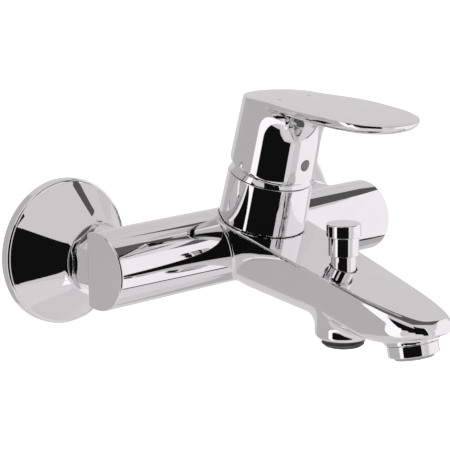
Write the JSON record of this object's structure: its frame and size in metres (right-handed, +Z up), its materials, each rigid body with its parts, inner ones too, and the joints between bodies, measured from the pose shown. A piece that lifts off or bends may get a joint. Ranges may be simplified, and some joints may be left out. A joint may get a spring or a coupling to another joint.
{
  "type": "wall mounted bath faucet",
  "caption": "Wall mounted single-lever bath faucet: round bar body with union nuts and conical escutcheons, flat-topped spout, pull-up diverter knob, shower outlet and aerator.",
  "frame": {"origin": "on the wall plane, midway between the two inlets", "axes": "+Y into the wall, +X to the right as the user faces the wall, +Z up; the faucet stands out along -Y"},
  "size_m": [0.2224, 0.1997, 0.1169],
  "materials": {
    "mixer_body": "polished chrome plate",
    "left_escutcheon": "polished chrome plate",
    "left_wall_union": "turned brass, satin",
    "left_union_nut": "polished chrome plate",
    "left_filter_washer": "matte black rubber",
    "left_inlet_tail": "turned brass, satin",
    "right_escutcheon": "polished chrome plate",
    "right_wall_union": "turned brass, satin",
    "right_union_nut": "polished chrome plate",
    "right_filter_washer": "matte black rubber",
    "right_inlet_tail": "turned brass, satin",
    "cartridge_seal": "matte black rubber",
    "cartridge_base": "white plastic, satin",
    "fixed_ceramic_disc": "white alumina ceramic, ground smooth",
    "cartridge_housing": "white plastic, satin",
    "cartridge_nut": "turned brass, satin",
    "cartridge_sleeve": "polished chrome plate",
    "tower_dome": "polished chrome plate",
    "diverter_bush": "turned brass, satin",
    "diverter_seal": "matte black rubber",
    "diverter_spring": "stainless steel, satin",
    "diverter_seat": "turned brass, satin",
    "shower_outlet_nipple": "dark grey plastic, satin",
    "check_valve_body": "white plastic, satin",
    "check_valve_spring": "stainless steel, satin",
    "aerator_housing": "polished chrome plate",
    "aerator_insert": "mid grey plastic, satin",
    "aerator_gasket": "matte black rubber",
    "stem_guide": "dark grey plastic, satin",
    "pivot_pin": "stainless steel, satin",
    "lever_handle": "polished chrome plate",
    "set_screw": "stainless steel, satin",
    "index_plug": "mid grey plastic, satin",
    "hot_mark": "mid grey plastic, satin",
    "cold_mark": "mid grey plastic, satin",
    "cartridge_stem": "turned brass, satin",
    "moving_ceramic_disc": "white alumina ceramic, ground smooth",
    "disc_carrier": "dark grey plastic, satin",
    "diverter_knob": "polished chrome plate",
    "diverter_rod": "turned brass, satin",
    "check_valve_poppet": "dark grey plastic, satin"
  },
  "bodies": {
    "mixer": {"mixer_body": "mixer_body", "left_escutcheon": "left_escutcheon", "left_wall_union": "left_wall_union", "left_union_nut": "left_union_nut", "left_filter_washer": "left_filter_washer", "left_inlet_tail": "left_inlet_tail", "right_escutcheon": "right_escutcheon", "right_wall_union": "right_wall_union", "right_union_nut": "right_union_nut", "right_filter_washer": "right_filter_washer", "right_inlet_tail": "right_inlet_tail", "cartridge_seal": "cartridge_seal", "cartridge_base": "cartridge_base", "fixed_ceramic_disc": "fixed_ceramic_disc", "cartridge_housing": "cartridge_housing", "cartridge_nut": "cartridge_nut", "cartridge_sleeve": "cartridge_sleeve", "tower_dome": "tower_dome", "diverter_bush": "diverter_bush", "diverter_seal": "diverter_seal", "diverter_spring": "diverter_spring", "diverter_seat": "diverter_seat", "shower_outlet_nipple": "shower_outlet_nipple", "check_valve_body": "check_valve_body", "check_valve_spring": "check_valve_spring", "aerator_housing": "aerator_housing", "aerator_insert": "aerator_insert", "aerator_gasket": "aerator_gasket"},
    "turn": {"stem_guide": "stem_guide", "pivot_pin": "pivot_pin"},
    "lever": {"lever_handle": "lever_handle", "set_screw": "set_screw", "index_plug": "index_plug", "hot_mark": "hot_mark", "cold_mark": "cold_mark", "cartridge_stem": "cartridge_stem"},
    "disc": {"moving_ceramic_disc": "moving_ceramic_disc", "disc_carrier": "disc_carrier"},
    "diverter": {"diverter_knob": "diverter_knob", "diverter_rod": "diverter_rod"},
    "valve": {"check_valve_poppet": "check_valve_poppet"}
  },
  "joints": [
    {"name": "lever_turn", "type": "hinge", "parent": "mixer", "child": "turn", "pos_m": [0, -0.0654, 0.01342], "axis": [0, -0.2588, 0.9659], "range_deg": [-45, 45]},
    {"name": "lever_lift", "type": "hinge", "parent": "turn", "child": "lever", "pos_m": [0, -0.06876, 0.02598], "axis": [-1, 0, 0], "range_deg": [0, 20]},
    {"name": "disc_slide", "type": "slide", "parent": "turn", "child": "disc", "axis": [0, -0.9659, -0.2588], "range_m": [0, 0.0062]},
    {"name": "diverter_pull", "type": "slide", "parent": "mixer", "child": "diverter", "axis": [0, 0, 1], "range_m": [0, 0.006], "stiffness_N_per_m": 300, "springref_m": -0.002, "deforming": ["diverter_spring"]},
    {"name": "check_valve_open", "type": "slide", "parent": "mixer", "child": "valve", "axis": [0, 0, -1], "range_m": [0, 0.0012], "stiffness_N_per_m": 100, "springref_m": -0.001, "deforming": ["check_valve_spring"]}
  ],
  "couplings": [
    {"joint": "disc_slide", "follows": "lever_lift", "m_per_rad": 0.0173}
  ]
}
